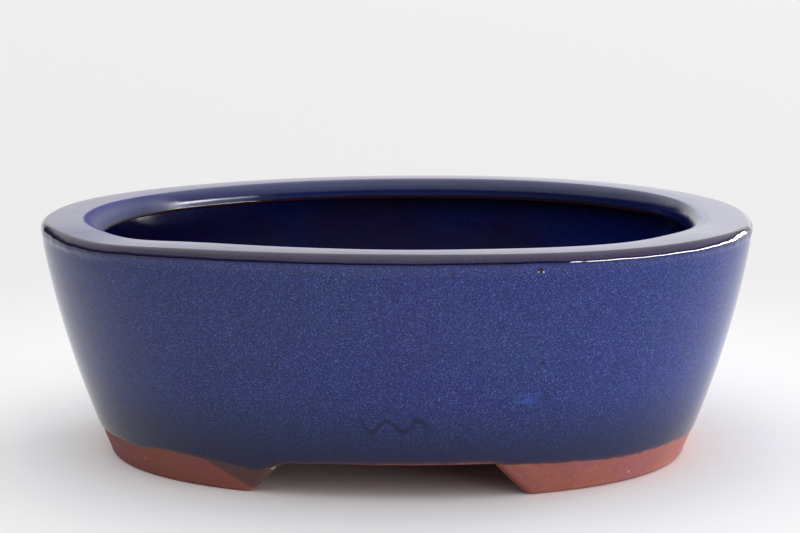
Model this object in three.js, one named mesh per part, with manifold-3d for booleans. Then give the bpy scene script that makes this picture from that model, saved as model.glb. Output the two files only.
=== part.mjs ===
// A shallow oval bonsai pot, 150 mm long, in red-brown clay under a cobalt blue glaze.
// Units are millimetres. +X runs along the pot, +Z is up, and the origin is on the ground
// under the middle of the pot.
import * as THREE from 'three';
import { mergeVertices } from 'three/addons/utils/BufferGeometryUtils.js';
import Module from 'manifold-3d';

// outline, seen from above, at the rim
const potLength = 150;
const potWidth = 124;
const outlinePower = 2.19; // 2 would be an ellipse, a little more squares its shoulders

// heights
const potHeight = 49.4;
const footHeight = 7.3;
const floorThickness = 5;
const lipThickness = 4.5;

// wall and lip
const wallTaper = 13.8; // how far the outline draws in between the rim and the ground
const wallBow = 0.51; // share of the taper by which the wall bellies out at mid height
const wallThickness = 5.2;
const coveRadius = 4; // between the inside of the wall and the floor
const lipWidth = 10.4; // the lip turns inwards and overhangs the wall
const lipEndExtra = 1.2; // it is this much wider at the pot's two ends
const lipEdgeRadius = 2.2;
const lipInnerRadius = 2.4;
const lipUnderRadius = 0.8;
const rimRoll = 0.1; // the rounded edge starts this far inside the nominal outline

// glaze
const glazeThickness = 0.5;
const seam = 0.1; // clearance between a glaze coat and the clay behind it
const coat = glazeThickness + seam;
const innerGlazeLine = 22; // the inside is bare clay below this height

// feet
const footWidth = 11;
const footGapTop = 40.5; // the cut-out between the feet widens towards the ground
const footGapGround = 53.5;
const footEdgeRadius = 0.8;

// holes in the floor
const drainRadius = 6;
const drainX = 28;
const wireHoleRadius = 1.5;
const wireHoleX = 36;
const wireHoleY = 19;

// drainage screens and the wire clips that hold them
const meshOpenings = 5; // along each side
const meshPitch = 4.2;
const meshStrand = 1;
const meshThickness = 1.2;
const wireRadius = 0.6;
const legY = meshPitch; // the legs go down through mesh openings
const wireClearance = 0.1;

// fineness of the faceted surfaces
const turns = 52;
const wallSteps = 4;
const arcSteps = 2;
const wireSteps = 46;
const wireSides = 8;

const floorTop = footHeight + floorThickness;
const lipUnderside = potHeight - lipThickness;
const clayLipSeat = lipUnderside + coat;

const wasm = await Module();
wasm.setup();

// A closed geometry with its shared corners merged and its collapsed triangles dropped.
function welded(geometry) {
  const bare = geometry.clone();
  bare.deleteAttribute('normal');
  bare.deleteAttribute('uv');
  const merged = mergeVertices(bare, 1e-5);
  const corners = merged.index.array;
  const kept = [];
  for (let i = 0; i < corners.length; i += 3) {
    const [a, b, c] = [corners[i], corners[i + 1], corners[i + 2]];
    if (a !== b && b !== c && c !== a) kept.push(a, b, c);
  }
  merged.setIndex(kept);
  return merged;
}

function solidFrom(geometry) {
  const closed = welded(geometry);
  return new wasm.Manifold(new wasm.Mesh({
    numProp: 3,
    vertProperties: new Float32Array(closed.attributes.position.array),
    triVerts: new Uint32Array(closed.index.array),
  }));
}

function geometryFrom(solid) {
  const result = solid.getMesh();
  const geometry = new THREE.BufferGeometry();
  geometry.setAttribute('position', new THREE.BufferAttribute(result.vertProperties, 3));
  geometry.setIndex(new THREE.BufferAttribute(result.triVerts, 1));
  geometry.computeVertexNormals();
  return geometry;
}

// How far the outside of the wall lies inside the rim's outline at height z.
function taperAt(z) {
  const rise = z / potHeight;
  return wallTaper * (1 - rise - wallBow * rise * (1 - rise));
}

// The point of the oval at a turn, moved in along its normal by inset, then drawn
// towards the pot's axis by reach: 1 stays on the oval, 0 is the axis.
function onOval(turn, inset, reach) {
  const halfLength = potLength / 2;
  const halfWidth = potWidth / 2;
  const rounding = 2 / outlinePower;
  const x = halfLength * Math.sign(Math.cos(turn)) * Math.abs(Math.cos(turn)) ** rounding;
  const y = halfWidth * Math.sign(Math.sin(turn)) * Math.abs(Math.sin(turn)) ** rounding;
  const slope = outlinePower - 1;
  const normal = new THREE.Vector2(
    (Math.sign(x) * Math.abs(x / halfLength) ** slope) / halfLength,
    (Math.sign(y) * Math.abs(y / halfWidth) ** slope) / halfWidth,
  ).normalize();
  return [(x - inset * normal.x) * reach, (y - inset * normal.y) * reach];
}

// A turning carried round the oval instead of a circle. Each point of the section is
// { inset, z } on the outline, or { reach: 0, z } on the pot's axis; ends is added to the
// inset at the two ends of the oval, fading to nothing along its sides.
function ovalTurning(section) {
  const points = section.map((p) => new THREE.Vector2(p.reach === 0 ? 0 : 1, p.z));
  const geometry = new THREE.LatheGeometry(points, turns);
  const position = geometry.attributes.position;
  for (let i = 0; i <= turns; i++) {
    const turn = ((i % turns) / turns) * 2 * Math.PI;
    section.forEach((p, j) => {
      const inset = (p.inset ?? 0) + (p.ends ?? 0) * Math.cos(turn) ** 4;
      const [x, y] = onOval(turn, inset, p.reach ?? 1);
      position.setXYZ(i * section.length + j, x, y, p.z);
    });
  }
  return geometry;
}

// Heights from low to high in equal steps.
function heights(low, high, steps) {
  return Array.from({ length: steps + 1 }, (_, i) => low + ((high - low) * i) / steps);
}

// An arc of a section about { inset, z }, between two angles in quarter turns, where
// 0 points inwards, 1 up and 2 outwards.
function arc(inset, z, radius, from, to) {
  return heights(from, to, arcSteps).map((quarter) => {
    const angle = (quarter * Math.PI) / 2;
    return { inset: inset + radius * Math.cos(angle), z: z + radius * Math.sin(angle) };
  });
}

// The section of a closed ring, run so that its faces point out, with its first point
// repeated at the end.
function closedRing(points) {
  return [...points, points[0]];
}

// The wall's outer line between two heights, set in by depth.
function wallLine(low, high, depth) {
  return heights(low, high, wallSteps).map((z) => ({ inset: taperAt(z) + depth, z }));
}

// The lip's outer edge, top, inner edge and underside, at a depth below its glaze.
function lipLine(depth) {
  const shoulder = potHeight - lipEdgeRadius;
  const inner = [
    ...arc(lipWidth - lipInnerRadius, potHeight - lipInnerRadius, lipInnerRadius - depth, 1, 0),
    ...arc(lipWidth - lipUnderRadius, lipUnderside + lipUnderRadius, lipUnderRadius - depth, 0, -1),
  ];
  return [
    { inset: taperAt(clayLipSeat) + depth, z: clayLipSeat },
    ...arc(rimRoll + lipEdgeRadius, shoulder, lipEdgeRadius - depth, 2, 1),
    ...inner.map((p) => ({ ...p, ends: lipEndExtra })),
  ];
}

// Clay wall, standing on the floor slab, with a cove at its foot inside.
function bodyWall() {
  const coveTop = floorTop + coveRadius;
  const outside = wallLine(floorTop, clayLipSeat, coat);
  const inside = wallLine(coveTop, clayLipSeat, wallThickness).reverse();
  const coveInset = taperAt(coveTop) + wallThickness + coveRadius;
  const cove = arc(coveInset, coveTop, coveRadius, 2, 3).slice(1);
  return ovalTurning(closedRing([...outside, ...inside, ...cove]));
}

// Oval slab under the wall, with two drainage holes and four holes for tie wires.
function floorSlab() {
  const edge = footEdgeRadius + coat;
  const slab = ovalTurning([
    { reach: 0, z: footHeight },
    { inset: taperAt(footHeight) + edge, z: footHeight },
    { inset: taperAt(footHeight) + coat, z: footHeight + footEdgeRadius },
    { inset: taperAt(floorTop) + coat, z: floorTop },
    { reach: 0, z: floorTop },
  ]);
  let solid = solidFrom(slab);
  for (const side of [-1, 1]) {
    solid = solid.subtract(verticalRod(drainRadius, side * drainX, 0));
    for (const end of [-1, 1]) {
      solid = solid.subtract(verticalRod(wireHoleRadius, side * wireHoleX, end * wireHoleY));
    }
  }
  return geometryFrom(solid);
}

// A rod through the floor, for cutting a hole.
function verticalRod(radius, x, y) {
  const sides = 20;
  const rod = new THREE.CylinderGeometry(radius, radius, floorThickness * 3, sides);
  rod.rotateX(Math.PI / 2);
  rod.translate(x, y, (footHeight + floorTop) / 2);
  return solidFrom(rod);
}

// Flat clay lip on top of the wall.
function rimLip() {
  return ovalTurning(closedRing(lipLine(coat)));
}

// One C-shaped foot: the part of a ring under the wall that lies past the cut-out.
function foot(side) {
  const inner = wallTaper + footWidth;
  const ring = solidFrom(ovalTurning(closedRing([
    ...arc(taperAt(footEdgeRadius) + footEdgeRadius, footEdgeRadius, footEdgeRadius, 3, 2),
    ...wallLine(footEdgeRadius, footHeight, 0).slice(1),
    { inset: inner, z: footHeight },
    ...arc(inner - footEdgeRadius, footEdgeRadius, footEdgeRadius, 0, -1),
  ])));
  const margin = 5;
  const flare = (footGapGround - footGapTop) / 2 / footHeight;
  const outline = new THREE.Shape([
    new THREE.Vector2(footGapGround / 2 + flare * margin, -margin),
    new THREE.Vector2(potLength, -margin),
    new THREE.Vector2(potLength, footHeight + margin),
    new THREE.Vector2(footGapTop / 2 - flare * margin, footHeight + margin),
  ]);
  const block = new THREE.ExtrudeGeometry(outline, { depth: potWidth * 2, bevelEnabled: false });
  block.rotateX(Math.PI / 2);
  block.translate(0, potWidth, 0);
  if (side < 0) block.rotateZ(Math.PI);
  return geometryFrom(ring.intersect(solidFrom(block)));
}

// Glaze on the outside, from the underside of the floor to the lip.
function outerGlaze() {
  const surface = wallLine(footHeight, clayLipSeat, 0);
  const back = wallLine(footHeight, clayLipSeat, glazeThickness).reverse();
  return ovalTurning(closedRing([...surface, ...back]));
}

// Glaze wrapped round the lip, ending against the wall under its overhang.
function rimGlaze() {
  const underEnd = taperAt(lipUnderside) + wallThickness + 2 * seam;
  const surface = [...lipLine(0), { inset: underEnd, z: lipUnderside }];
  const back = [{ inset: underEnd, z: lipUnderside + glazeThickness }, ...lipLine(glazeThickness).reverse()];
  return ovalTurning(closedRing([...surface, ...back]));
}

// Glaze on the inside of the wall, down to its line above the bare floor.
function innerGlaze() {
  const top = lipUnderside - seam;
  const back = wallLine(innerGlazeLine, top, wallThickness + seam);
  const surface = wallLine(innerGlazeLine, top, wallThickness + coat).reverse();
  return ovalTurning(closedRing([...back, ...surface]));
}

// Square moulded mesh that keeps the soil in over a drainage hole.
function drainageScreen(x) {
  const length = meshOpenings * meshPitch + meshStrand;
  const opening = meshPitch - meshStrand;
  const middle = (meshOpenings - 1) / 2;
  const z = floorTop + meshThickness / 2;
  let solid = solidFrom(new THREE.BoxGeometry(length, length, meshThickness).translate(x, 0, z));
  for (let i = 0; i < meshOpenings; i++) {
    for (let j = 0; j < meshOpenings; j++) {
      const cutter = new THREE.BoxGeometry(opening, opening, meshThickness * 2);
      cutter.translate(x + (i - middle) * meshPitch, (j - middle) * meshPitch, z);
      solid = solid.subtract(solidFrom(cutter));
    }
  }
  return geometryFrom(solid);
}

// Bent wire: up through the drainage hole, round a loop on each side over the screen,
// and down again, with its two tails turned out under the floor.
function screenClip(x) {
  const onScreen = floorTop + meshThickness + wireRadius + wireClearance;
  const underFloor = footHeight - wireRadius - 4 * wireClearance;
  const leg = [
    [0, legY + 7, underFloor],
    [0, legY + 3, underFloor - 0.1],
    [0, legY + 1.2, underFloor - 0.05],
    [0, legY + 0.2, underFloor + 0.9],
    [0, legY, underFloor + 2.4],
    [0, legY, floorTop],
    [0.1, legY, onScreen - 0.9],
    [0.7, legY + 0.3, onScreen - 0.15],
  ];
  const loop = [
    [2.2, legY + 1.6, onScreen],
    [2.6, legY + 3.9, onScreen],
    [0, legY + 5.9, onScreen],
    [-2.6, legY + 3.9, onScreen],
    [-2.4, legY, onScreen],
  ];
  const half = [...leg, ...loop];
  const otherHalf = half.map(([px, py, pz]) => [px, -py, pz]).reverse();
  const route = [...half, ...otherHalf].map((p) => new THREE.Vector3(...p));
  const section = new THREE.Shape();
  section.absarc(0, 0, wireRadius, 0, 2 * Math.PI, false);
  const wire = new THREE.ExtrudeGeometry(section, {
    steps: wireSteps,
    curveSegments: wireSides,
    bevelEnabled: false,
    extrudePath: new THREE.CatmullRomCurve3(route, false, 'centripetal'),
  });
  wire.translate(x, 0, 0);
  return wire;
}

const clay = { color: 0x8f5448, roughness: 0.85, metalness: 0 };
const cobaltGlaze = { color: 0x27357a, roughness: 0.15, metalness: 0 };
const rimFinish = { color: 0x2c2f4e, roughness: 0.12, metalness: 0 };
const innerFinish = { color: 0x101a52, roughness: 0.1, metalness: 0 };
const meshPlastic = { color: 0x22262a, roughness: 0.55, metalness: 0 };
const clipWire = { color: 0xa7a9ab, roughness: 0.4, metalness: 1 };

const pot = new THREE.Group();

function addPiece(name, geometry, finish) {
  const mesh = new THREE.Mesh(geometry, new THREE.MeshStandardMaterial(finish));
  mesh.name = name;
  pot.add(mesh);
}

addPiece('floor_slab', floorSlab(), clay);
addPiece('body_wall', bodyWall(), clay);
addPiece('rim_lip', rimLip(), clay);
addPiece('foot_left', foot(-1), clay);
addPiece('foot_right', foot(1), clay);
addPiece('outer_glaze', outerGlaze(), cobaltGlaze);
addPiece('rim_glaze', rimGlaze(), rimFinish);
addPiece('inner_glaze', innerGlaze(), innerFinish);
for (const [name, x] of [['left', -drainX], ['right', drainX]]) {
  addPiece(`drainage_screen_${name}`, drainageScreen(x), meshPlastic);
  addPiece(`screen_clip_${name}`, screenClip(x), clipWire);
}

export default pot;
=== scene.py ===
import math
import bpy
import numpy as np
from mathutils import Matrix, Vector


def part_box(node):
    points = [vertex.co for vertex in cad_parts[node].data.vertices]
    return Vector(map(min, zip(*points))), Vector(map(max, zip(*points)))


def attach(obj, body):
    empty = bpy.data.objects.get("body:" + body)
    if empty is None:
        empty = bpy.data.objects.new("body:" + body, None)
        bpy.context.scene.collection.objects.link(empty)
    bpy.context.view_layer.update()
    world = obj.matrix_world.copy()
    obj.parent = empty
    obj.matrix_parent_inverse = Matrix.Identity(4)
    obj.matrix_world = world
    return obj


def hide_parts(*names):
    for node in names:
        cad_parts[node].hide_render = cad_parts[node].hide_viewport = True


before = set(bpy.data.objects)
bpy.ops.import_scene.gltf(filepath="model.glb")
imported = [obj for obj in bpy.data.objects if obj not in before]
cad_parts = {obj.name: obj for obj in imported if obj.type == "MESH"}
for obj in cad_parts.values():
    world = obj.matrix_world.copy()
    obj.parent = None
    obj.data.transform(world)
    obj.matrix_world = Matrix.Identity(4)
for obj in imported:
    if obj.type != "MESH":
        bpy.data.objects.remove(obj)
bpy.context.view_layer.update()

mm = 0.001  # shapes are worked out in millimetres and written to the meshes in metres

rimLow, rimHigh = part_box("rim_glaze")
rimRoll = 0.1  # the rounded rim edge starts this far inside the nominal oval
halfLength = rimHigh.x / mm + rimRoll
halfWidth = rimHigh.y / mm + rimRoll
potHeight = rimHigh.z / mm
lipUnderside = rimLow.z / mm
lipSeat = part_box("rim_lip")[0].z / mm  # the outer coat of glaze hands over to the rim here
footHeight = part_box("foot_left")[1].z / mm
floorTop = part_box("floor_slab")[1].z / mm

potShape = {
    "outlinePower": 2.19,  # 2 would be an ellipse
    "taper": 13.8,         # how far the outline draws in from rim to ground
    "bow": 0.51,           # share of the taper by which the wall bellies out
    "wall": 5.2,
    "glaze": 0.5,
    "neck": 0.05,          # depth of the faint hollow under the rolled rim
    "neckHeight": 45.8,
    "neckSpread": 1.3,
    "columns": 900,        # steps round the oval
    "clayColumns": 600,    # and round the clay wall and lip
}
print("frame read: pot", round(2 * halfLength), "x", round(2 * halfWidth), "x",
      round(potHeight, 1), "mm")


# how far the outside of the wall lies inside the rim's outline at height z:
# taper * (1 - t - bow * t * (1 - t)), t = z / height
def taperAt(z):
    t = np.asarray(z, float) / potHeight
    return potShape["taper"] * (1 - t - potShape["bow"] * t * (1 - t))


# the glazed outside: the taper plus a hollow neck * exp(-((z - neckHeight) / neckSpread)^2)
def outsideAt(z):
    z = np.asarray(z, float)
    away = (z - potShape["neckHeight"]) / potShape["neckSpread"]
    return taperAt(z) + potShape["neck"] * np.exp(-away ** 2)


# a sum of sines round the pot, waves are (count, amplitude in mm, phase)
def wander(turn, waves):
    return sum(amount * np.sin(count * turn + phase) for count, amount, phase in waves)


# a sum of bell curves round the pot, amount * exp(-(away / reach)^2), places are (turn, reach,
# amount) in degrees and mm
def bells(turn, places):
    total = 0 * turn
    for middle, reach, amount in places:
        away = (np.degrees(turn) - middle + 180) % 360 - 180
        total = total + amount * np.exp(-(away / reach) ** 2)
    return total


def turnsAround(count):
    return (np.arange(count) / count * 2 * np.pi)[:, None]


# smoothstep, x * x * (3 - 2 * x), held between 0 and 1
def easeIn(x):
    x = np.clip(x, 0, 1)
    return x * x * (3 - 2 * x)


# points of a superellipse x = a * |cos|^(2/n), y = b * |sin|^(2/n), moved in along its normal
# by inset, at height z; turn, inset and z are arrays that broadcast together
def aroundOval(turn, inset, z):
    power = potShape["outlinePower"]
    c, s = np.cos(turn), np.sin(turn)
    x = halfLength * np.sign(c) * np.abs(c) ** (2 / power)
    y = halfWidth * np.sign(s) * np.abs(s) ** (2 / power)
    nx = np.sign(x) * np.abs(x / halfLength) ** (power - 1) / halfLength
    ny = np.sign(y) * np.abs(y / halfWidth) ** (power - 1) / halfWidth
    length = np.hypot(nx, ny)
    x, y, z = np.broadcast_arrays(x - inset * nx / length, y - inset * ny / length, z)
    return np.stack([x, y, z], -1)


handMade = {
    "sway": [(2, 0.375, -0.73), (3, 0.086, 3.76), (4, 0.057, 2.36)],   # rise and fall of the rim
    "swell": [(2, 0.104, -0.29), (3, 0.06, 3.14), (4, 0.089, -0.46)],  # in and out of its outline
    "pressed": [(223, 14, -0.7), (285, 40, 0.33), (328, 12, 0.15)],    # low and high places
    "broader": [(238, 17, 1.6), (272, 9, -0.8), (328, 14, 1.0),        # where the lip is wider
                (0, 24, 1.6), (180, 25, 0.6)],
    "tighter": [(180, 38, 0.9)],                                       # its inner edge rolls less
}


# the hand-made unevenness, fading down the wall: z + sway * t^3, and outwards along
# (cos, sin) of the turn by swell * t^3, t = z / height
def settle(points, turn):
    t = np.clip(points[..., 2] / potHeight, 0, 1) ** 3
    swell = wander(turn, handMade["swell"]) * t
    lift = (wander(turn, handMade["sway"]) + bells(turn, handMade["pressed"])) * t
    return points + np.stack([swell * np.cos(turn), swell * np.sin(turn), lift], -1)


creaseAngle = 50  # degrees; edges sharper than this are not shaded smooth


# vertices in mm and quads to a smooth mesh object, with its point attributes
def meshPiece(name, points, faces, values=None):
    mesh = bpy.data.meshes.new(name)
    mesh.from_pydata((np.asarray(points) * mm).tolist(), [], np.asarray(faces).tolist())
    for key, numbers in (values or {}).items():
        layer = mesh.attributes.new(key, "FLOAT", "POINT")
        layer.data.foreach_set("value", np.ravel(numbers).astype(np.float32))
    mesh.shade_smooth()
    mesh.set_sharp_from_angle(angle=math.radians(creaseAngle))
    piece = bpy.data.objects.new(name, mesh)
    bpy.context.scene.collection.objects.link(piece)
    return piece


# a grid of points (rows round the pot, columns along the section) as one mesh of quads
def gridPiece(name, points, values=None, roundRows=True, roundColumns=True):
    rows, columns = points.shape[:2]
    index = np.arange(rows * columns).reshape(rows, columns)
    a = index if roundRows else index[:-1]
    b = np.roll(index, -1, 0) if roundRows else index[1:]
    if roundColumns:
        quads = np.stack([a, b, np.roll(b, -1, 1), np.roll(a, -1, 1)], -1)
    else:
        quads = np.stack([a[:, :-1], b[:, :-1], b[:, 1:], a[:, 1:]], -1)
    return meshPiece(name, points.reshape(-1, 3), quads.reshape(-1, 4), values)


def place(piece, slotName, material, *nodes):
    piece.data.materials.clear()
    piece.data.materials.append(material)
    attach(piece, "root")
    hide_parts(*nodes)
    return piece


# a float socket on which + - * and / build Math nodes
class Wire:
    def __init__(self, kit, socket):
        self.kit, self.socket = kit, socket

    def work(self, operation, *others):
        node = self.kit.add("ShaderNodeMath", {"operation": operation},
                            dict(enumerate((self,) + others)))
        return Wire(self.kit, node.outputs[0])

    def __add__(self, other):
        return self.work("ADD", other)

    def __sub__(self, other):
        return self.work("SUBTRACT", other)

    def __mul__(self, other):
        return self.work("MULTIPLY", other)

    def __truediv__(self, other):
        return self.work("DIVIDE", other)

    def __rsub__(self, other):
        node = self.kit.add("ShaderNodeMath", {"operation": "SUBTRACT"}, {0: other, 1: self})
        return Wire(self.kit, node.outputs[0])

    __radd__ = __add__
    __rmul__ = __mul__

    def above(self, low, high):  # 0 below low, 1 above high, eased between
        node = self.kit.add("ShaderNodeMapRange", {"interpolation_type": "SMOOTHSTEP"},
                            {"Value": self, "From Min": low, "From Max": high})
        return Wire(self.kit, node.outputs["Result"])

    def below(self, low, high):
        return 1 - self.above(low, high)


# the nodes of one new material, given by its name, or of the world
class Finish:
    def __init__(self, block, coordinate="Object"):
        self.material = bpy.data.materials.new(block) if isinstance(block, str) else block
        self.material.use_nodes = True
        self.tree = self.material.node_tree
        self.shader = self.tree.nodes.get("Principled BSDF") or self.tree.nodes["Background"]
        self.where = self.add("ShaderNodeTexCoord").outputs[coordinate]

    def add(self, kind, settings=None, sockets=None):
        node = self.tree.nodes.new(kind)
        for key, value in (settings or {}).items():
            setattr(node, key, value)
        for key, value in (sockets or {}).items():
            self.feed(node.inputs[key], value)
        return node

    def feed(self, socket, value):
        if isinstance(value, Wire):
            value = value.socket
        if isinstance(value, bpy.types.NodeSocket):
            self.tree.links.new(value, socket)
        elif socket.type == "RGBA" and len(value) == 3:
            socket.default_value = (*value, 1)
        else:
            socket.default_value = value

    def wire(self, node, name):
        return Wire(self, node.outputs[name])

    def noise(self, perMetre, detail=2.0, roughness=0.5, stretch=None):
        where = self.where
        if stretch:
            node = self.add("ShaderNodeMapping", None, {"Vector": where, "Scale": stretch})
            where = node.outputs[0]
        node = self.add("ShaderNodeTexNoise", None, {
            "Vector": where, "Scale": perMetre, "Detail": detail, "Roughness": roughness})
        return self.wire(node, "Fac")

    def cellDistance(self, perMetre):  # from the middle of each cell, in cells
        node = self.add("ShaderNodeTexVoronoi", None, {"Vector": self.where, "Scale": perMetre})
        return self.wire(node, "Distance")

    def cellChance(self, perMetre):  # an even chance from 0 to 1, one number to a cell
        node = self.add("ShaderNodeTexVoronoi", None, {"Vector": self.where, "Scale": perMetre})
        parts = self.add("ShaderNodeSeparateColor", None, {"Color": node.outputs["Color"]})
        return self.wire(parts, "Red")

    def along(self, axis):
        return self.wire(self.add("ShaderNodeSeparateXYZ", None, {"Vector": self.where}), axis)

    def value(self, name):
        return self.wire(self.add("ShaderNodeAttribute", {"attribute_name": name}), "Fac")

    def near(self, x, y, z, reach):  # 1 at a point given in mm, 0 at reach mm from it
        node = self.add("ShaderNodeVectorMath", {"operation": "DISTANCE"},
                        {0: self.where, 1: (x * mm, y * mm, z * mm)})
        return self.wire(node, "Value").below(0.0, reach * mm)

    def mix(self, amount, first, second):
        node = self.add("ShaderNodeMix", {"data_type": "RGBA"},
                        {"Factor": amount, 6: first, 7: second})  # its two colour sockets
        return node.outputs[2]

    def bump(self, height, distance):
        node = self.add("ShaderNodeBump", None, {
            "Height": height, "Distance": distance * mm, "Strength": 1.0})
        return node.outputs["Normal"]

    def finish(self, **sockets):
        for key, value in sockets.items():
            self.feed(self.shader.inputs[key.replace("_", " ")], value)
        return self.material


cobalt = {
    "body": (0.0030, 0.0170, 0.150),
    "deep": (0.0008, 0.0045, 0.055),
    "crystal": (0.085, 0.115, 0.330),
    "violet": (0.0080, 0.0110, 0.140),
    "teal": (0.0020, 0.0250, 0.115),
    "foot": (0.0040, 0.0080, 0.030),     # low on the wall
    "thick": (0.0008, 0.0030, 0.035),
    "thin": (0.0160, 0.0085, 0.040),
    "overClay": (0.050, 0.027, 0.030),
    "pool": (0.025, 0.070, 0.360),
    "driftScale": 42,                    # scales of the pattern are per metre
    "cloudScale": 230,
    "grainScale": 4300,
    "lowFrom": (6.0, 24.0),              # heights between which the foot's tone fades
    "peel": 0.05,                        # depth of the orange peel in mm
}


# cobalt glaze: fine crystals over a slow drift between violet and teal, darker towards the
# foot, thin and brown where it ends on bare clay
def cobaltColour(f, aboveLine, outside=True):
    drift = f.noise(cobalt["driftScale"], 3, 0.55)
    base = f.mix(drift.above(0.36, 0.64), cobalt["teal"], cobalt["violet"])
    base = f.mix(0.6, base, cobalt["body"])
    cloud = f.noise(cobalt["cloudScale"], 3, 0.6)
    base = f.mix(cloud.above(0.45, 0.72) * 0.3, base, cobalt["deep"])
    grain = f.noise(cobalt["grainScale"], 1.5, 0.7)
    base = f.mix(grain.below(0.38, 0.54) * 0.95, base, cobalt["deep"])
    base = f.mix(grain.above(0.55, 0.70) * 0.9, base, cobalt["crystal"])
    if outside:
        low = (f.along("Z") / mm + (cloud - 0.5) * 5).below(*cobalt["lowFrom"])
        base = f.mix(low * 0.85, base, cobalt["foot"])
    base = f.mix(aboveLine.below(0.2, 2.4) * 0.8, base, cobalt["thin"])
    return f.mix(aboveLine.below(0.0, 0.8) * 0.8, base, cobalt["overClay"])


# a long swell and a fine ripple, as heights for a bump
def orangePeel(f):
    return f.noise(150, 2) + f.noise(2200, 2) * 0.03


# marks of the firing on the outside: places in mm, each with its reach
marks = {
    "dimple": (14.0, -60.9, 46.4, 0.9),
    "pinhole": (30.1, -57.6, 46.5, 0.85),
    "glint": (30.7, -57.4, 46.3, 0.4),   # painted highlight: a small white dot by the pinhole
    "spot": (30.7, -53.5, 28.3, 0.75),
    "runs": [(28.3, -52.0, 20.8, 3.0), (67.5, -17.0, 24.0, 6.0)],  # pools of paler blue
}

# a smudge on the near wall, a wavy dark stroke
smudge = {
    "x": 2.8, "z": 15.8,      # its middle
    "swing": 1.3,             # height of its waves
    "perMm": 1.05,            # radians of wave to a millimetre
    "wobble": 1.6,
    "halfWide": (0.25, 1.0),  # fully dark, and faded out
    "halfLong": (5.5, 7.5),
}


# 1 on the smudge: |z - wave(x)| and |x| are both small, and y is on the near side
def smudgeStroke(f):
    x = f.along("X") / mm - smudge["x"]
    z = f.along("Z") / mm - smudge["z"]
    wave = (x * smudge["perMm"]).work("SINE") * -smudge["swing"]
    wave = wave + (f.noise(500, 2) - 0.5) * smudge["wobble"]
    stroke = (z - wave).work("ABSOLUTE").below(*smudge["halfWide"])
    stroke = stroke * x.work("ABSOLUTE").below(*smudge["halfLong"])
    return stroke * f.along("Y").below(-0.02, -0.01)


def wallGlazeFinish():
    f = Finish("cobaltGlaze")
    colour = cobaltColour(f, f.value("aboveLine"))
    cloudy = f.noise(600, 3, 0.6).above(0.35, 0.65)
    for run in marks["runs"]:
        colour = f.mix(f.near(*run) * cloudy * 0.5, colour, cobalt["pool"])
    colour = f.mix(f.near(*marks["spot"]).above(0.2, 0.6) * 0.85, colour, cobalt["thick"])
    colour = f.mix(smudgeStroke(f) * 0.8, colour, cobalt["thick"])
    rough = f.noise(900, 2) * 0.06 + 0.10
    return f.finish(Base_Color=colour, Roughness=rough, IOR=1.46,
                    Normal=f.bump(orangePeel(f), cobalt["peel"]))


rimTones = {
    "streak": (0.024, 0.015, 0.050),    # the glaze breaks to brown over the outer roll
    "topDark": (0.006, 0.008, 0.105),   # the flat top is mottled
    "topPale": (0.018, 0.016, 0.215),
    "inner": (0.005, 0.010, 0.075),
    "innerFoot": (0.008, 0.002, 0.006),
    "pinhole": (0.010, 0.006, 0.006),
    # glint is a painted highlight, a white dot by the pinhole
    "glint": (0.55, 0.60, 0.66),
}


# rim glaze, laid out by two values of the lip's section: drop, the depth below the top, and
# inset, the distance in from the outline
def rimGlazeFinish():
    f = Finish("rimGlaze")
    drop, inset = f.value("rimDrop"), f.value("rimInset")
    body = cobaltColour(f, f.value("aboveLine"), outside=False)
    ragged = (f.noise(420, 3, 0.6) - 0.5) * 1.1
    pit, dent = f.near(*marks["pinhole"]), f.near(*marks["dimple"])
    colour = f.mix((drop + ragged * 0.5).above(1.7, 2.2), cobalt["thick"], body)
    band = f.mix(f.noise(1500, 2).above(0.35, 0.65), cobalt["thin"], rimTones["streak"])
    colour = f.mix((drop + ragged * 0.6).below(1.2, 1.6), colour, band)
    top = inset.above(1.7, 2.6) * drop.below(0.02, 0.25)
    mottled = f.noise(700, 3, 0.65).above(0.36, 0.64)
    colour = f.mix(top * 0.9, colour, f.mix(mottled, rimTones["topDark"], rimTones["topPale"]))
    innerEdge = inset.above(5.0, 6.0) * drop.above(0.02, 0.25)
    colour = f.mix(innerEdge, colour, rimTones["inner"])
    innerFoot = inset.above(9.8, 10.2) * (drop + ragged * 0.6).above(3.2, 3.9)
    colour = f.mix(innerFoot, colour, rimTones["innerFoot"])
    colour = f.mix(pit.above(0.1, 0.5), colour, rimTones["pinhole"])
    # painted highlight: the white dot by the pinhole
    colour = f.mix(f.near(*marks["glint"]).above(0.2, 0.6), colour, rimTones["glint"])
    colour = f.mix(dent.above(0.1, 0.6) * 0.6, colour, cobalt["thick"])
    dull = f.along("X").below(-0.060, -0.050) * 0.60 + 0.10  # the inner edge is dullest at the left
    rough = f.noise(900, 2) * 0.04 + 0.05 + inset.above(8.6, 9.8) * dull
    height = orangePeel(f) - pit.above(0.2, 0.8) * 6 - dent.above(0.0, 0.7) * 1.2
    return f.finish(Base_Color=colour, Roughness=rough, IOR=1.52,
                    Normal=f.bump(height, cobalt["peel"]))


insideTones = {
    # shade is painted shade: the inside of the pot is darkened all over
    "shade": (0.0008, 0.0040, 0.075),
    "plum": (0.010, 0.001, 0.012),
    "peel": 0.07,
}


def insideGlazeFinish():
    f = Finish("insideGlaze")
    colour = cobaltColour(f, f.value("aboveLine"), outside=False)
    # painted shade: the whole inside is darkened towards deep navy
    colour = f.mix(0.8, colour, insideTones["shade"])
    colour = f.mix(f.noise(30, 2).above(0.5, 0.65) * 0.5, colour, insideTones["plum"])
    rough = f.noise(900, 2) * 0.05 + 0.08
    return f.finish(Base_Color=colour, Roughness=rough, IOR=1.22,
                    Normal=f.bump(orangePeel(f), insideTones["peel"]))


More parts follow.
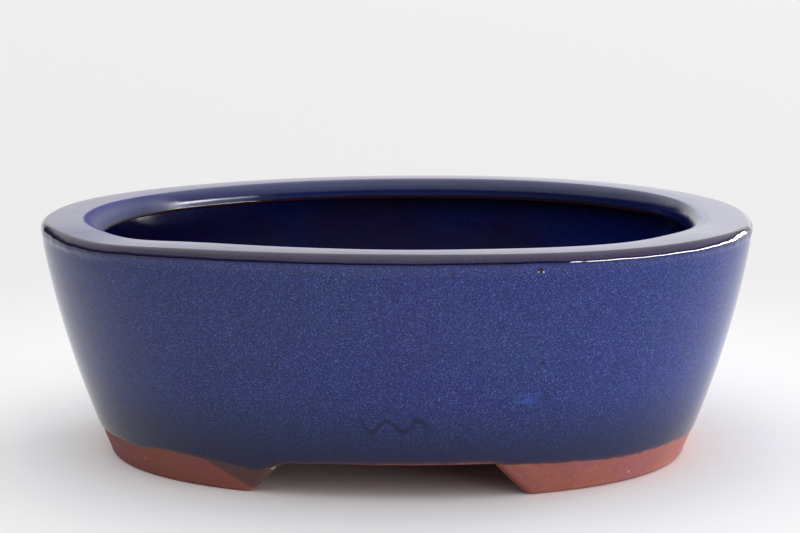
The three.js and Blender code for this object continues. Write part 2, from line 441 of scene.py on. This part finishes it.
clayTones = {
    "red": (0.225, 0.055, 0.055),
    "orange": (0.250, 0.066, 0.045),
    "pink": (0.230, 0.068, 0.082),
    "dark": (0.130, 0.045, 0.038),
    "pale": (0.420, 0.210, 0.180),
    "sand": (0.58, 0.48, 0.30),
    "grit": 0.06,        # depth of the roughness in mm
    "footShade": 0.86,   # of the tones above
    "bareShade": 0.84,
}

# glaze that ran down over the corner of the left foot
footRun = {
    "corner": (-25.5, 1.0),              # x and z of its edge close to the ground
    "slope": 1.9,                        # mm to the left for each mm up
    "ragged": 3,                         # mm
    "tone": (0.036, 0.021, 0.021),
    "crumb": (-20.4, -48.4, 5.7, 2.4),   # sand caught beside it: place and reach
}


# red-brown stoneware: tone drifting between orange and pink, fine grog, pale grains of sand
def clayFinish(name, shade, glazeRun=False):
    f = Finish(name)
    red, orange, pink, dark, pale = (tuple(shade * part for part in clayTones[key])
                                     for key in ("red", "orange", "pink", "dark", "pale"))
    tone = f.noise(110, 3, 0.55)
    grain = f.noise(1900, 3, 0.7)
    colour = f.mix(tone.above(0.42, 0.62), orange, red)
    colour = f.mix(tone.above(0.55, 0.72), colour, pink)
    colour = f.mix(f.noise(420, 3, 0.6).above(0.5, 0.75) * 0.35, colour, dark)
    colour = f.mix(grain.above(0.48, 0.75) * 0.35, colour, pale)
    sand = f.cellDistance(330).below(0.04, 0.085) * f.cellChance(330).above(0.80, 0.84)
    colour = f.mix(sand * 0.6, colour, clayTones["sand"])
    height = grain * 0.5 + tone * 0.6 + sand
    rough = grain * 0.2 + 0.62
    if glazeRun:
        x, z = footRun["corner"]
        edge = (f.noise(500, 2) - 0.5) * footRun["ragged"]
        across = f.along("X") / mm - x + (f.along("Z") / mm - z) * footRun["slope"] + edge
        run = across.above(-0.9, 0.9)
        run = run * f.along("X").below(-0.010, -0.005) * f.along("Y").below(-0.03, -0.02)
        colour = f.mix(run * 0.78, colour, footRun["tone"])
        crumb = f.near(*footRun["crumb"]).above(0.05, 0.5) * f.cellChance(1500).above(0.45, 0.55)
        colour = f.mix(crumb * 0.6, colour, clayTones["sand"])
        height = height + crumb * 2
        rough = rough - run * 0.35
    return f.finish(Base_Color=colour, Roughness=rough, IOR=1.45,
                    Normal=f.bump(height, clayTones["grit"]))


plasticTones = {"black": (0.012, 0.013, 0.014), "scuffed": (0.035, 0.037, 0.040)}


def meshPlasticFinish():
    f = Finish("meshPlastic")
    scuff = f.noise(700, 3, 0.6)
    colour = f.mix(scuff.above(0.45, 0.7), plasticTones["black"], plasticTones["scuffed"])
    return f.finish(Base_Color=colour, Roughness=scuff * 0.3 + 0.35, IOR=1.5,
                    Normal=f.bump(f.noise(2500, 2), 0.02))


wireTones = {"dull": (0.50, 0.50, 0.51), "bright": (0.70, 0.70, 0.71)}


def clipWireFinish():
    f = Finish("clipWire")
    drawn = f.noise(1400, 3, 0.6, stretch=(1, 0.08, 1))
    colour = f.mix(drawn.above(0.4, 0.7), wireTones["dull"], wireTones["bright"])
    return f.finish(Base_Color=colour, Metallic=1.0, Roughness=drawn * 0.25 + 0.22,
                    Normal=f.bump(drawn, 0.01))


wallFinish = wallGlazeFinish()
rimFinish = rimGlazeFinish()
insideFinish = insideGlazeFinish()
footFinish = clayFinish("footClay", clayTones["footShade"], glazeRun=True)
bareFinish = clayFinish("bareClay", clayTones["bareShade"])
plasticFinish = meshPlasticFinish()
wireFinish = clipWireFinish()
print("finishes mixed")


wallCoat = {
    # where the glaze stops: turn in degrees, height in mm; it runs low on the feet,
    # lowest at the corner of the left one, and leaves the wall's edge bare over the gap
    "line": [(0, 5.8), (40, 6.4), (68, 6.9), (75, 7.4), (105, 7.6), (112, 6.7), (140, 6.1),
             (180, 5.7), (213, 6.4), (221, 6.0), (230, 6.9), (240, 6.4), (247, 5.3),
             (251, 4.9), (256, 7.15), (263, 7.4), (270, 7.65), (286, 7.75), (289, 7.0),
             (296, 6.7), (304, 6.4), (313, 5.85), (331, 6.1), (342, 5.6)],
    "softened": 4,          # steps of half a degree each way over which its corners are rounded
    "ragged": [(37, 0.05, 0.7), (71, 0.045, 4.4), (113, 0.03, 2.2)],
    "feather": 0.26,        # how far the edge of the coat thins in
    "featherRise": 0.5,
    "edgeSteps": 7,
    "upSteps": 80,
    "backSteps": 6,
}


# height of the glaze's lower edge: straight lines between the given turns, rounded by a
# moving average with cosine weights, plus the ragged sines
def glazeLine(turn):
    places, heights = zip(*wallCoat["line"])
    dense = np.arange(0, 360, 0.5)
    line = np.interp(dense, places, heights, period=360)
    reach = wallCoat["softened"]
    soft = np.hanning(2 * reach + 1)
    soft = soft / soft.sum()
    line = np.convolve(np.concatenate([line[-reach:], line, line[:reach]]), soft, "valid")
    return np.interp(np.degrees(turn), dense, line, period=360) + wander(turn, wallCoat["ragged"])


# outer coat: from its wavy lower line, with a quarter-ellipse edge, up the wall's taper and
# back down behind at the glaze's thickness
def makeWallGlaze():
    turn = turnsAround(potShape["columns"])
    low = glazeLine(turn)
    first = wallCoat["featherRise"]
    edge = np.linspace(0, np.pi / 2, wallCoat["edgeSteps"])[None, :-1] + 0 * low
    up = np.linspace(0, 1, wallCoat["upSteps"])[None, :]
    height = np.hstack([first * (1 - np.cos(edge)), first + (lipSeat - low - first) * up])
    thin = np.hstack([wallCoat["feather"] * (1 - np.sin(edge)), 0 * low + 0 * up])
    back = np.linspace(1, 0, wallCoat["backSteps"])[None, :]
    zBack = low + (lipSeat - low) * back
    z = np.hstack([low + height, zBack])
    inset = outsideAt(z) + np.hstack([thin, 0 * zBack + potShape["glaze"]])
    points = aroundOval(turn, inset, z)
    above = np.hstack([height, 0 * zBack])
    return gridPiece("wallGlaze", settle(points, turn), {"aboveLine": above})


rimCoat = {
    "reach": 0.26,     # the roll's furthest point lies this far inside the nominal outline
    "handOver": 0.2,   # the blend from wall to roll keeps this far from both of its ends
    "outerWide": 1.5,  # outer edge: a quarter ellipse, wide by high
    "outerHigh": 1.9,
    "innerWide": 2.6,  # inner edge, rolled more softly
    "innerHigh": 3.0,
    "innerTurn": 86.5,  # degrees of the ellipse used before the face goes on straight
    "under": 0.7,      # round edge at the foot of the inner face
    "underLeast": 0.1,  # its least radius, far below the surface
    "tuck": 0.2,       # the underside runs this far under the wall
    "width": 10.4,     # of the whole lip along the sides
    "endWidth": 11.6,  # and at the two ends
    "lean": 0.17,      # the inner face leans in by this much at its foot
    "crown": 0.05,
    "pooled": [(7, 0.07, 0.4), (13, 0.05, 2.6), (29, 0.045, 1.0), (53, 0.03, 5.0), (97, 0.02, 3.1)],
    "aboveLine": 40.0,  # too far above the glaze's lower line for its brown edge to show
}


# the lip's section at each turn, at a depth below the surface, as insets and heights: up from
# the wall, blending by smoothstep from the wall's line into a quarter ellipse, in across the
# crowned top, over a softer quarter ellipse that stops a little short, straight down the
# leaning face, round a quarter circle and back under the overhang
def lipSection(turn, depth, fine):
    pool = wander(turn, rimCoat["pooled"])  # the roll of glaze gathers more in some places
    innerPool = 0.5 * pool
    width = rimCoat["width"] + (rimCoat["endWidth"] - rimCoat["width"]) * np.cos(turn) ** 4
    width = width + bells(turn, handMade["broader"])
    reach, wide, high = rimCoat["reach"], rimCoat["outerWide"], rimCoat["outerHigh"]
    shoulder = potHeight - high
    quarter = np.linspace(0, np.pi / 2, 4 * fine)[None, :] + 0 * turn

    z = np.linspace(lipSeat, shoulder, 3 * fine, endpoint=False)[None, :] + 0 * turn
    below = np.sqrt(np.clip(1 - ((z - shoulder) / high) ** 2, 0, 1))
    roll = reach - pool + wide * (1 - below)
    handOver = rimCoat["handOver"]
    blend = easeIn((z - lipSeat - handOver) / (shoulder - lipSeat - 2 * handOver))
    parts = [(outsideAt(z) * (1 - blend) + roll * blend + depth, z)]
    parts.append((reach - pool * np.cos(quarter) ** 2 + wide - (wide - depth) * np.cos(quarter),
                  shoulder + (high - depth) * np.sin(quarter)))

    innerWide = rimCoat["innerWide"] - bells(turn, handMade["tighter"])
    innerHigh = rimCoat["innerHigh"]
    start, stop = reach + wide, width - innerWide
    u = np.linspace(0, 1, 4 * fine)[None, 1:-1] + 0 * turn
    parts.append((start + (stop - start) * u,
                  potHeight - depth + rimCoat["crown"] * np.sin(u * np.pi)))
    inner = quarter * rimCoat["innerTurn"] / 90
    parts.append((stop + (innerWide - depth) * np.sin(inner) + innerPool * np.sin(quarter) ** 2,
                  potHeight - innerHigh + (innerHigh - depth) * np.cos(inner)))

    lastInset, lastZ = parts[-1][0][:, -1:], parts[-1][1][:, -1:]
    faceLow = lipUnderside + rimCoat["under"]
    u = np.linspace(0, 1, 2 * fine)[None, 1:-1] + 0 * turn
    parts.append((lastInset + rimCoat["lean"] * u, lastZ + (faceLow - lastZ) * u))
    r = max(rimCoat["under"] - depth, rimCoat["underLeast"])
    centre = lastInset + rimCoat["lean"] - r - innerPool
    parts.append((centre + r * np.cos(quarter) + innerPool * np.cos(quarter),
                  faceLow - r * np.sin(quarter)))
    end = float(taperAt(lipUnderside)) + potShape["wall"] + rimCoat["tuck"]
    u = np.linspace(0, 1, 2 * fine)[None, 1:] + 0 * turn
    parts.append((centre + (end - centre) * u, 0 * u + faceLow - r))
    return np.hstack([part[0] for part in parts]), np.hstack([part[1] for part in parts])


# rim coat: the lip's section carried round the oval, with its own back a glaze's thickness below
def makeRimGlaze():
    turn = turnsAround(potShape["columns"])
    inset, z = lipSection(turn, 0.0, 4)
    backInset, backZ = lipSection(turn, potShape["glaze"], 1)
    inset = np.hstack([inset, backInset[:, ::-1]])
    z = np.hstack([z, backZ[:, ::-1]])
    points = aroundOval(turn, inset, z)
    return gridPiece("rimGlaze", settle(points, turn), {
        "rimDrop": potHeight - z, "rimInset": inset, "aboveLine": 0 * z + rimCoat["aboveLine"]})


insideCoat = {
    "line": 22.0,
    "lineWaves": [(2, 1.1, 0.8), (5, 0.7, 2.2), (11, 0.45, 0.2), (23, 0.3, 1.2), (41, 0.15, 3.0)],
    "feather": 0.5,   # its lower edge is a quarter ellipse, feather by rise
    "rise": 0.9,
    "tuck": 0.3,      # it goes on this far up behind the lip
    "proud": 0.1,     # it stands out this much more than the glaze's thickness
    "sunk": 0.05,     # its back lies this far in the clay
    "edgeSteps": 7,
    "upSteps": 46,
    "backSteps": 5,
}


# inner coat: from under the lip down the wall to a wavy, rounded lower line
def makeInsideGlaze():
    turn = turnsAround(potShape["columns"])
    low = insideCoat["line"] + wander(turn, insideCoat["lineWaves"])
    top = lipUnderside + insideCoat["tuck"]
    first = insideCoat["rise"]
    edge = np.linspace(0, 1, insideCoat["edgeSteps"])[None, :-1]
    rise = first * (1 - np.cos(edge * np.pi / 2))
    thin = insideCoat["feather"] * (1 - np.sin(edge * np.pi / 2))
    up = np.linspace(0, 1, insideCoat["upSteps"])[None, :]
    height = np.hstack([rise + 0 * low, first + (top - low - first) * up])
    z = low + height
    face = potShape["wall"] + insideCoat["proud"] + potShape["glaze"]
    inset = taperAt(z) + face - np.hstack([thin + 0 * low, 0 * low + 0 * up])
    back = np.linspace(1, 0, insideCoat["backSteps"])[None, :]
    zBack = low + (top - low) * back
    insetBack = taperAt(zBack) + potShape["wall"] - insideCoat["sunk"]
    points = aroundOval(turn, np.hstack([inset, insetBack]), np.hstack([z, zBack]))
    points = settle(points, turn)[:, ::-1]
    above = np.hstack([height, 0 * zBack])[:, ::-1]
    return gridPiece("insideGlaze", points, {"aboveLine": above})


place(makeWallGlaze(), "cobalt_glaze", wallFinish, "outer_glaze")
place(makeRimGlaze(), "rim_glaze", rimFinish, "rim_glaze")
place(makeInsideGlaze(), "inner_glaze", insideFinish, "inner_glaze")
print("glaze coats run")


clayBody = {
    "cove": 4.0,         # radius where the wall meets the floor
    "outerDepth": 0.62,  # the clay lies this far below the glaze's surface
    "ribDepth": 0.05,    # faint marks of the rib, on the parts that lie at least ribFrom in
    "ribWaves": 2.1,     # radians to a millimetre
    "ribFrom": 5,
}


# wall: its section runs up the hidden outside, over the top and down the inside to a cove
def makeClayWall():
    turn = turnsAround(potShape["clayColumns"])
    r = clayBody["cove"]
    coveTop = floorTop + r
    z = np.linspace(floorTop, lipSeat, 10)
    outside = np.stack([taperAt(z) + clayBody["outerDepth"], z], 1)
    z = np.linspace(lipSeat, coveTop, 50)
    inside = np.stack([taperAt(z) + potShape["wall"], z], 1)
    t = np.linspace(0, np.pi / 2, 12)[1:]
    centre = float(taperAt(coveTop)) + potShape["wall"] + r
    cove = np.stack([centre - r * np.cos(t), coveTop - r * np.sin(t)], 1)
    section = np.vstack([outside, inside, cove])
    inset, z = section[:, 0], section[:, 1]
    ribbed = clayBody["ribDepth"] * np.sin(z * clayBody["ribWaves"]) * (inset > clayBody["ribFrom"])
    return gridPiece("clayWall", aroundOval(turn, (inset + ribbed)[None, :], z[None, :]))


# lip: the rim coat's own section, a glaze's thickness and a little more below its surface
def makeClayLip():
    turn = turnsAround(potShape["clayColumns"])
    inset, z = lipSection(turn, clayBody["outerDepth"], 3)
    return gridPiece("clayLip", settle(aroundOval(turn, inset, z), turn))


floorCuts = {
    "drainRadius": 6.0,
    "drainX": 28.0,
    "wireRadius": 1.5,
    "wireX": 36.0,
    "wireY": 19.0,
    "soft": 0.35,       # rounding of the edges
}


# a flat outline with holes, given as closed loops of points in mm, filled between two
# heights with rounded edges, then turned into a mesh
def cutPlate(name, loops, low, high, soft):
    curve = bpy.data.curves.new(name, "CURVE")
    curve.dimensions = "2D"
    curve.fill_mode = "BOTH"
    curve.extrude = ((high - low) / 2 - soft) * mm
    curve.bevel_depth = soft * mm
    curve.bevel_resolution = 3
    curve.offset = -soft * mm
    for loop in loops:
        spline = curve.splines.new("POLY")
        spline.points.add(len(loop) - 1)
        flat = np.hstack([loop * mm, np.zeros((len(loop), 1)), np.ones((len(loop), 1))])
        spline.points.foreach_set("co", flat.ravel())
        spline.use_cyclic_u = True
    holder = bpy.data.objects.new(name + "Curve", curve)
    bpy.context.scene.collection.objects.link(holder)
    bpy.context.view_layer.update()
    filled = holder.evaluated_get(bpy.context.evaluated_depsgraph_get())
    mesh = bpy.data.meshes.new_from_object(filled)
    bpy.data.objects.remove(holder)
    mesh.name = name
    moved = np.empty(len(mesh.vertices) * 3)
    mesh.vertices.foreach_get("co", moved)
    moved = moved.reshape(-1, 3) + (0, 0, (low + high) / 2 * mm)
    mesh.vertices.foreach_set("co", moved.ravel())
    piece = bpy.data.objects.new(name, mesh)
    bpy.context.scene.collection.objects.link(piece)
    return piece


# a circle as a loop of points
def ring(x, y, radius, count):
    t = np.arange(count) / count * 2 * np.pi
    return np.stack([x + radius * np.cos(t), y + radius * np.sin(t)], 1)


# floor slab with its drainage holes and tie-wire holes
def makeClayFloor():
    turn = turnsAround(360)
    outline = aroundOval(turn, taperAt(footHeight) + potShape["glaze"], 0.0)[:, 0, :2]
    loops = [outline]
    for side in (-1, 1):
        loops.append(ring(side * floorCuts["drainX"], 0, floorCuts["drainRadius"], 48))
        for end in (-1, 1):
            x, y = side * floorCuts["wireX"], end * floorCuts["wireY"]
            loops.append(ring(x, y, floorCuts["wireRadius"], 24))
    return cutPlate("clayFloor", loops, footHeight, floorTop, floorCuts["soft"])


footShape = {
    "width": 11.0,
    "underGlaze": 0.25,         # the clay lies this far below the glaze's surface
    "leftGap": (19.1, 25.6),    # where the left foot ends, from the middle: at its top, on the ground
    "rightGap": (21.2, 27.2),
    "round": 0.9,               # edges on the ground
    "endRound": 2.2,            # corners of the ends
    "mainRows": 260,            # rows along the foot, then round each end's corner, then closing it
    "roundRows": 8,
    "capRows": 6,
    "turnSteps": 1201,          # size of the table that finds where each line of the foot ends
    "insetSteps": 60,
}


# section of a foot as a closed loop of (inset, z): up the outside, in along the top, down the
# inside, with quarter-circle edges on the ground
def footSection():
    r = footShape["round"]
    t = np.linspace(0, np.pi / 2, 7)
    outer = float(taperAt(r)) + footShape["underGlaze"]
    ground = np.stack([outer + r - r * np.sin(t), r - r * np.cos(t)], 1)
    z = np.linspace(r, footHeight, 16)[1:]
    outside = np.stack([taperAt(z) + footShape["underGlaze"], z], 1)
    inner = potShape["taper"] + footShape["width"]
    u = np.linspace(0, 1, 12)[1:]
    top = np.stack([outside[-1, 0] + (inner - outside[-1, 0]) * u, 0 * u + footHeight], 1)
    z = np.linspace(footHeight, r, 12)[1:]
    inside = np.stack([0 * z + inner, z], 1)
    back = np.stack([inner - r + r * np.cos(t), r - r * np.sin(t)], 1)[1:]
    u = np.linspace(0, 1, 12)[1:-1]
    sole = np.stack([back[-1, 0] + (ground[0, 0] - back[-1, 0]) * u, 0 * u], 1)
    return np.vstack([ground, outside, top, inside, back, sole])


# the turn, counted from the pot's end, at which a line at each inset comes to x, read between
# the columns of a table of x over turn and inset
def turnAtX(x, inset):
    turns = np.linspace(np.pi / 2, 0, footShape["turnSteps"])
    insets = np.linspace(inset.min(), inset.max(), footShape["insetSteps"])
    acrossAt = aroundOval(turns[:, None], insets[None, :], 0.0)[..., 0]
    table = np.array([np.interp(x.ravel(), column, turns) for column in acrossAt.T])
    between = (inset.ravel() - insets[0]) / (insets[1] - insets[0])
    low = np.clip(between.astype(int), 0, len(insets) - 2)
    each = np.arange(x.size)
    found = table[low, each] + (table[low + 1, each] - table[low, each]) * (between - low)
    return found.reshape(x.shape)


# C-shaped foot: the section is carried round one end of the oval between two slanted planes
# |x| = gap(z); over the last rows it shrinks along a quarter circle towards the middle of its
# top edge, which rounds the corners, and then closes to a point
def makeFoot(name, side, gap):
    section = footSection()
    mainRows, capRows = footShape["mainRows"], footShape["capRows"]
    soft = footShape["endRound"]
    anchor = np.array([section[:, 0].mean(), footHeight])
    span = np.array([np.ptp(section[:, 0]) / 2, footHeight])
    t = np.linspace(0, np.pi / 2, footShape["roundRows"] + 1)[1:]
    scale = np.concatenate([1 - soft * (1 - np.cos(t)[:, None]) / span,
                            (1 - soft / span) * np.linspace(1, 0, capRows + 1)[1:, None]])
    retreat = np.concatenate([soft * (1 - np.sin(t)), np.zeros(capRows)])
    small = anchor + (section - anchor)[None] * scale[:, None, :]
    rows = np.concatenate([small[::-1], np.repeat(section[None], mainRows, 0), small])
    retreat = np.concatenate([retreat[::-1], np.full(mainRows, soft), retreat])[:, None]
    ends = np.ones(len(small))
    share = np.concatenate([-ends, np.linspace(-1, 1, mainRows), ends])
    inset, z = rows[..., 0], rows[..., 1]
    reach = gap[1] + (gap[0] - gap[1]) * z / footHeight + retreat
    turn = turnAtX(reach, inset) * share[:, None]
    if side < 0:
        turn = np.pi - turn[::-1]
        inset, z = inset[::-1], z[::-1]
    return gridPiece(name, aroundOval(turn, inset, z), roundRows=False)


place(makeClayWall(), "bare_clay", bareFinish, "body_wall")
place(makeClayFloor(), "bare_clay", bareFinish, "floor_slab")
place(makeFoot("leftFoot", -1, footShape["leftGap"]), "foot_clay", footFinish, "foot_left")
place(makeFoot("rightFoot", 1, footShape["rightGap"]), "foot_clay", footFinish, "foot_right")
place(makeClayLip(), "bare_clay", bareFinish, "rim_lip")
print("clay joined")


screenMesh = {
    "openings": 5,       # along each side
    "pitch": 4.2,
    "strand": 1.0,
    "thick": 1.2,
    "corner": 0.5,       # of each opening
    "outerCorner": 0.8,
    "soft": 0.22,        # rounding of the edges
}


# a square with rounded corners, as a loop of points: one quarter-circle corner, turned four times
def softSquare(x, y, half, corner):
    t = np.linspace(0, np.pi / 2, 6)
    arc = np.stack([half - corner + corner * np.cos(t), half - corner + corner * np.sin(t)], 1)
    spins = [np.array([[math.cos(a), math.sin(a)], [-math.sin(a), math.cos(a)]])
             for a in np.arange(4) * np.pi / 2]
    return np.vstack([arc @ spin for spin in spins]) + (x, y)


# square moulded mesh: a plate with a grid of square openings
def makeScreen(name, x):
    openings, pitch, strand = screenMesh["openings"], screenMesh["pitch"], screenMesh["strand"]
    size = openings * pitch + strand
    hole = (pitch - strand) / 2
    steps = (np.arange(openings) - (openings - 1) / 2) * pitch
    loops = [softSquare(x, 0, size / 2, screenMesh["outerCorner"])]
    loops += [softSquare(x + cx, cy, hole, screenMesh["corner"]) for cx in steps for cy in steps]
    return cutPlate(name, loops, floorTop, floorTop + screenMesh["thick"], screenMesh["soft"])


clip = {
    "radius": 0.6,
    "clear": 0.1,     # between the wire and the screen
    "sides": 20,
    "steps": 420,
    "endSteps": 4,    # rings on each half-round end
}


# smooth line through points: Catmull-Rom, each span a cubic of its four nearest points
def smoothLine(points, count):
    p = np.vstack([2 * points[0] - points[1], points, 2 * points[-1] - points[-2]])
    t = np.linspace(0, len(points) - 1 - 1e-6, count)
    i = t.astype(int)
    u = (t - i)[:, None]
    a, b, c, d = p[i], p[i + 1], p[i + 2], p[i + 3]
    square, cube = 2 * a - 5 * b + 4 * c - d, 3 * b - a - 3 * c + d
    return 0.5 * (2 * b + (c - a) * u + square * u ** 2 + cube * u ** 3)


# two unit vectors across a line at each of its steps; the first is kept as near as it can be
# to the one before, so that the wire isn't twisted
def acrossLine(tangent):
    side = np.cross(tangent[0], (1.0, 0.2, 0.1))  # any direction that isn't the wire's own
    side /= np.linalg.norm(side)
    sides = [side]
    for direction in tangent[1:]:
        side = side - direction * (side @ direction)
        side = side / np.linalg.norm(side)
        sides.append(side)
    u = np.array(sides)
    return u, np.cross(tangent, u)


# round wire along a line: centre + radius * (u * cos + v * sin), with half-round ends
def wireAlong(name, line, radius):
    tangent = np.gradient(line, axis=0)
    tangent /= np.linalg.norm(tangent, axis=1)[:, None]
    u, v = acrossLine(tangent)
    endSteps = clip["endSteps"]
    t = np.linspace(0, np.pi / 2, endSteps + 1)[:-1]
    head = line[0] - tangent[0] * radius * np.cos(t)[:, None]
    tail = line[-1] + tangent[-1] * radius * np.cos(t)[::-1, None]
    centre = np.vstack([head, line, tail])
    size = np.concatenate([radius * np.sin(t), np.full(len(line), radius),
                           radius * np.sin(t)[::-1]])[:, None, None]
    u = np.vstack([np.repeat(u[:1], endSteps, 0), u, np.repeat(u[-1:], endSteps, 0)])[:, None]
    v = np.vstack([np.repeat(v[:1], endSteps, 0), v, np.repeat(v[-1:], endSteps, 0)])[:, None]
    angle = (np.arange(clip["sides"]) / clip["sides"] * 2 * np.pi)[None, :, None]
    points = centre[:, None] + size * (u * np.cos(angle) + v * np.sin(angle))
    return gridPiece(name, points, roundRows=False)


# bent wire: its tails lie under the floor, its legs go up through the drainage hole and the
# screen's openings, and a loop on each side lies over the screen
def makeClip(name, x):
    leg = screenMesh["pitch"]
    over = floorTop + screenMesh["thick"] + clip["radius"] + clip["clear"]
    under = footHeight - clip["radius"] - 4 * clip["clear"]
    half = np.array([
        (0, leg + 7, under), (0, leg + 3, under - 0.1), (0, leg + 1.2, under - 0.05),
        (0, leg + 0.2, under + 0.9), (0, leg, under + 2.4), (0, leg, floorTop),
        (0.1, leg, over - 0.9), (0.7, leg + 0.3, over - 0.15), (2.2, leg + 1.6, over),
        (2.6, leg + 3.9, over), (0, leg + 5.9, over), (-2.6, leg + 3.9, over), (-2.4, leg, over)])
    route = np.vstack([half, (half * (1, -1, 1))[::-1]]) + (x, 0, 0)
    return wireAlong(name, smoothLine(route, clip["steps"]), clip["radius"])


for side, x in (("left", -floorCuts["drainX"]), ("right", floorCuts["drainX"])):
    place(makeScreen(side + "Screen", x), "mesh_plastic", plasticFinish, "drainage_screen_" + side)
    place(makeClip(side + "Clip", x), "clip_wire", wireFinish, "screen_clip_" + side)
print("screens laid and clipped")


studio = {
    "floor": (0.70, 0.695, 0.70),
    # painted light: the floor is paler near the pot, lifting the pot's shadow
    "floorPaintedLight": (0.96, 0.945, 0.95),
    "paintedLightReach": 260,                 # mm from the middle of the pot, over which the painted light fades out
    "floorRadius": 6.0,               # m
    "floorDrop": 0.02,                # mm below the feet
    # strength of each light
    "overhead": 1.45,
    "middle": 0.90,                   # the room at middle height
    "front": 0.02,                    # the dark room low down
    "behind": 0.86,                   # the backdrop,
    "rightward": 0.50,                # which is brighter by this at its right
    "haze": 0.40,                     # and this bright higher up
    "window": 41.0,
    # where each light begins and where it is full, as parts of a unit direction
    "overheadFrom": (0.60, 0.90),
    "middleFrom": (0.15, 0.44),
    "rightwardFrom": (-0.3, 0.3),
    "hazeFrom": (0.25, 0.45),
    "behindFrom": (0.84, 0.94),
    "windowFrom": (0.605, 0.625),     # across, at its near and far edges
    "windowSide": (0.9945, 0.1045),   # x and y of the direction that this is measured along
    "windowTall": 0.08,               # height of its top edge, which rises further back
    "windowRise": 0.07,
    "riseFrom": (0.60, 0.66),
}


def makeFloor():
    t = turnsAround(96)
    radius = np.array([0, 0.4, 1.5, studio["floorRadius"]])[None, :] / mm
    x, y = radius * np.cos(t), radius * np.sin(t)
    points = np.stack(np.broadcast_arrays(x, y, 0 * radius * t - studio["floorDrop"]), -1)
    floor = gridPiece("floor", points[:, ::-1], roundColumns=False)
    f = Finish("floorPaper")
    # painted light: the floor's colour is paler near the pot, to lift its shadow
    near = f.near(0, 0, 0, studio["paintedLightReach"])
    paper = f.mix(near, studio["floor"], studio["floorPaintedLight"])
    paper = f.mix(f.noise(3, 2) * 0.02, paper, (0.7, 0.7, 0.7))
    floor.data.materials.append(f.finish(Base_Color=paper, Roughness=0.9))


# world, by direction: a soft ceiling overhead, a pale backdrop, a room that is dark low down
# and a low strip window all along the right, taller at the back
def makeWorld():
    world = bpy.data.worlds.new("studioWorld")
    bpy.context.scene.world = world
    f = Finish(world, "Generated")
    x, y, z = f.along("X"), f.along("Y"), f.along("Z")
    ceiling = z.above(*studio["overheadFrom"])
    middle = z.above(*studio["middleFrom"]) * studio["middle"] + studio["front"]
    level = middle + (studio["overhead"] - middle) * ceiling
    behind = x.above(*studio["rightwardFrom"]) * studio["rightward"] + studio["behind"]
    behind = (behind - studio["haze"]) * z.below(*studio["hazeFrom"]) + studio["haze"]
    level = level + (behind - level) * y.above(*studio["behindFrom"]) * (1 - ceiling)
    toX, toY = studio["windowSide"]
    across = (x * toX + y * toY).above(*studio["windowFrom"])
    tall = y.above(*studio["riseFrom"]) * studio["windowRise"] + studio["windowTall"]
    window = across * z.above(0.0, 0.01) * (1 - (z - tall).above(-0.005, 0.005))
    level = level + window * studio["window"]
    f.feed(f.shader.inputs["Strength"], level)
    f.feed(f.shader.inputs["Color"], (1, 1, 1))


camera = {
    "azimuth": 3.372, "elevation": 9.490, "roll": -0.150,  # degrees
    "distance": 445.18, "aim": (0.638, 0, 37.571),         # mm
    "lens": 93.814, "sensor": 36,                          # mm
    "sees": (0.01, 50),                                    # nearest and furthest, m
}


# the camera stands at aim + distance * back, and roll turns it about its own line of sight
def makeCamera():
    az, el, roll = (math.radians(camera[key]) for key in ("azimuth", "elevation", "roll"))
    back = Vector((math.sin(az) * math.cos(el), -math.cos(az) * math.cos(el), math.sin(el)))
    right = (-back).cross(Vector((0, 0, 1))).normalized()
    up = right.cross(-back)
    across = math.cos(roll) * right + math.sin(roll) * up
    over = -math.sin(roll) * right + math.cos(roll) * up
    lens = bpy.data.cameras.new("camera")
    lens.sensor_width = camera["sensor"]
    lens.lens = camera["lens"]
    lens.clip_start, lens.clip_end = camera["sees"]
    view = bpy.data.objects.new("camera", lens)
    spot = Vector(camera["aim"]) * mm + back * camera["distance"] * mm
    view.matrix_world = Matrix.Translation(spot) @ Matrix((across, over, back)).transposed().to_4x4()
    bpy.context.scene.collection.objects.link(view)
    bpy.context.scene.camera = view


makeFloor()
makeWorld()
makeCamera()
bpy.context.scene.view_settings.view_transform = "Standard"
print("studio lit")
